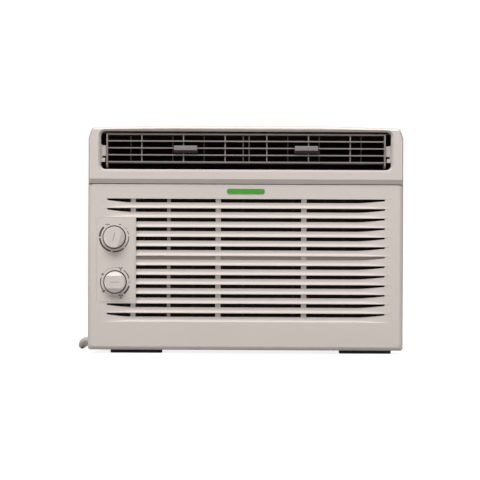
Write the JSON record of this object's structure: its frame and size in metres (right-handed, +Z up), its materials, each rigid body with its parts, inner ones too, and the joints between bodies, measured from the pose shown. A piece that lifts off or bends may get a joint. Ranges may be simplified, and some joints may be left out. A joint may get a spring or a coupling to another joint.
{
  "type": "window air conditioner",
  "caption": "Window air conditioner with a slotted front grille, tilting louver, two rotary knobs, sheet-metal case, fan, compressor and mains cord.",
  "frame": {"origin": "under the middle of the body, on the surface that the feet stand on", "axes": "+X to the right seen from the room, +Y from the room to the outside, +Z up; the front panel faces -Y"},
  "size_m": [0.4721, 0.4815, 0.326],
  "materials": {
    "galvanised_pan": "galvanised sheet, satin",
    "case_paint": "powder-coated, satin",
    "rubber_feet": "matte",
    "screw_steel": "zinc plated",
    "panel_plastic": "fine semi-gloss moulding",
    "control_plastic": "fine semi-gloss moulding",
    "knob_plastic": "semi-gloss moulding",
    "louver_plastic": "matte moulding",
    "tab_plastic": "matte moulding",
    "vane_plastic": "dark matte moulding",
    "guide_plastic": "matte moulding",
    "filter_net": "woven net",
    "badge_green": "printed green",
    "foam": "moulded foam",
    "fins": "thin foil fins",
    "copper": "drawn copper tube",
    "fan_plastic": "glass-filled moulding",
    "motor_paint": "satin",
    "compressor_paint": "gloss black",
    "switch_metal": "plated steel",
    "switch_black": "moulded phenolic",
    "wire_red": "PVC insulation",
    "cord_pvc": "smooth PVC jacket",
    "pin_brass": "bright"
  },
  "bodies": {
    "housing": {"base_pan": "galvanised_pan", "bulkhead": "galvanised_pan", "fan_shroud": "galvanised_pan", "motor_bracket": "galvanised_pan", "case_shell": "case_paint", "rear_guard": "case_paint", "control_box": "case_paint", "front_feet": "rubber_feet", "rear_feet": "rubber_feet", "compressor_mounts": "rubber_feet", "case_screws": "screw_steel", "guard_screws": "screw_steel", "frame_screws": "screw_steel", "front_frame": "panel_plastic", "louver_pivots": "control_plastic", "control_plate": "control_plastic", "filter_guides": "guide_plastic", "outlet_duct": "foam", "blower_housing": "foam", "evaporator": "fins", "condenser": "fins", "evaporator_bends": "copper", "condenser_bends": "copper", "copper_pipes": "copper", "capillary_tube": "copper", "motor": "motor_paint", "compressor": "compressor_paint", "accumulator": "compressor_paint", "thermostat": "switch_metal", "run_capacitor": "switch_metal", "mode_switch": "switch_black", "wiring_loom": "wire_red", "cord_gland": "cord_pvc", "power_cord": "cord_pvc", "cord_coil": "cord_pvc", "cord_tail": "cord_pvc", "plug_body": "cord_pvc", "plug_pins": "pin_brass"},
    "grille_door": {"intake_grille": "panel_plastic", "badge": "badge_green"},
    "filter": {"filter_frame": "guide_plastic", "filter_mesh": "filter_net"},
    "temp_dial": {"temp_knob": "knob_plastic", "temp_spindle": "screw_steel"},
    "mode_dial": {"mode_knob": "knob_plastic", "mode_spindle": "screw_steel"},
    "louver": {"louver_frame": "louver_plastic"},
    "left_tab": {"tab_left": "tab_plastic"},
    "right_tab": {"tab_right": "tab_plastic"},
    "rotor": {"blower_wheel": "fan_plastic", "motor_shaft": "screw_steel", "condenser_fan": "fan_plastic"},
    "left_vane_1": {"vane_left_1": "vane_plastic"},
    "left_vane_2": {"vane_left_2": "vane_plastic"},
    "left_vane_3": {"vane_left_3": "vane_plastic"},
    "right_vane_1": {"vane_right_1": "vane_plastic"},
    "right_vane_2": {"vane_right_2": "vane_plastic"},
    "right_vane_3": {"vane_right_3": "vane_plastic"}
  },
  "joints": [
    {"name": "grille_tilt", "type": "hinge", "parent": "housing", "child": "grille_door", "pos_m": [0, -0.15, 0.019], "axis": [1, 0, 0], "range_deg": [0, 70]},
    {"name": "filter_pull", "type": "slide", "parent": "housing", "child": "filter", "axis": [1, 0, 0], "range_m": [0, 0.36]},
    {"name": "temp_turn", "type": "hinge", "parent": "housing", "child": "temp_dial", "pos_m": [-0.1873, -0.15, 0.1663], "axis": [0, 1, 0], "range_deg": [0, 285]},
    {"name": "mode_turn", "type": "hinge", "parent": "housing", "child": "mode_dial", "pos_m": [-0.186, -0.15, 0.1024], "axis": [0, 1, 0], "range_deg": [0, 300]},
    {"name": "louver_tilt", "type": "hinge", "parent": "housing", "child": "louver", "pos_m": [0, -0.15, 0.2905], "axis": [1, 0, 0], "range_deg": [-18, 18]},
    {"name": "rotor_spin", "type": "hinge", "parent": "housing", "child": "rotor", "pos_m": [0.02, 0.04, 0.132], "axis": [0, 1, 0], "continuous": true},
    {"name": "left_tab_slide", "type": "slide", "parent": "louver", "child": "left_tab", "axis": [1, 0, 0], "range_m": [-0.008, 0.008]},
    {"name": "left_vane_1_turn", "type": "hinge", "parent": "louver", "child": "left_vane_1", "pos_m": [-0.165, -0.14, 0.2905], "axis": [0, 0, 1], "range_deg": [-46, 46]},
    {"name": "left_vane_2_turn", "type": "hinge", "parent": "louver", "child": "left_vane_2", "pos_m": [-0.105, -0.14, 0.2905], "axis": [0, 0, 1], "range_deg": [-46, 46]},
    {"name": "left_vane_3_turn", "type": "hinge", "parent": "louver", "child": "left_vane_3", "pos_m": [-0.06, -0.14, 0.2905], "axis": [0, 0, 1], "range_deg": [-46, 46]},
    {"name": "right_tab_slide", "type": "slide", "parent": "louver", "child": "right_tab", "axis": [1, 0, 0], "range_m": [-0.008, 0.008]},
    {"name": "right_vane_1_turn", "type": "hinge", "parent": "louver", "child": "right_vane_1", "pos_m": [0.06, -0.14, 0.2905], "axis": [0, 0, 1], "range_deg": [-46, 46]},
    {"name": "right_vane_2_turn", "type": "hinge", "parent": "louver", "child": "right_vane_2", "pos_m": [0.105, -0.14, 0.2905], "axis": [0, 0, 1], "range_deg": [-46, 46]},
    {"name": "right_vane_3_turn", "type": "hinge", "parent": "louver", "child": "right_vane_3", "pos_m": [0.165, -0.14, 0.2905], "axis": [0, 0, 1], "range_deg": [-46, 46]}
  ],
  "couplings": [
    {"joint": "left_vane_1_turn", "follows": "left_tab_slide", "rad_per_m": 100},
    {"joint": "left_vane_2_turn", "follows": "left_tab_slide", "rad_per_m": 100},
    {"joint": "left_vane_3_turn", "follows": "left_tab_slide", "rad_per_m": 100},
    {"joint": "right_vane_1_turn", "follows": "right_tab_slide", "rad_per_m": 100},
    {"joint": "right_vane_2_turn", "follows": "right_tab_slide", "rad_per_m": 100},
    {"joint": "right_vane_3_turn", "follows": "right_tab_slide", "rad_per_m": 100}
  ]
}
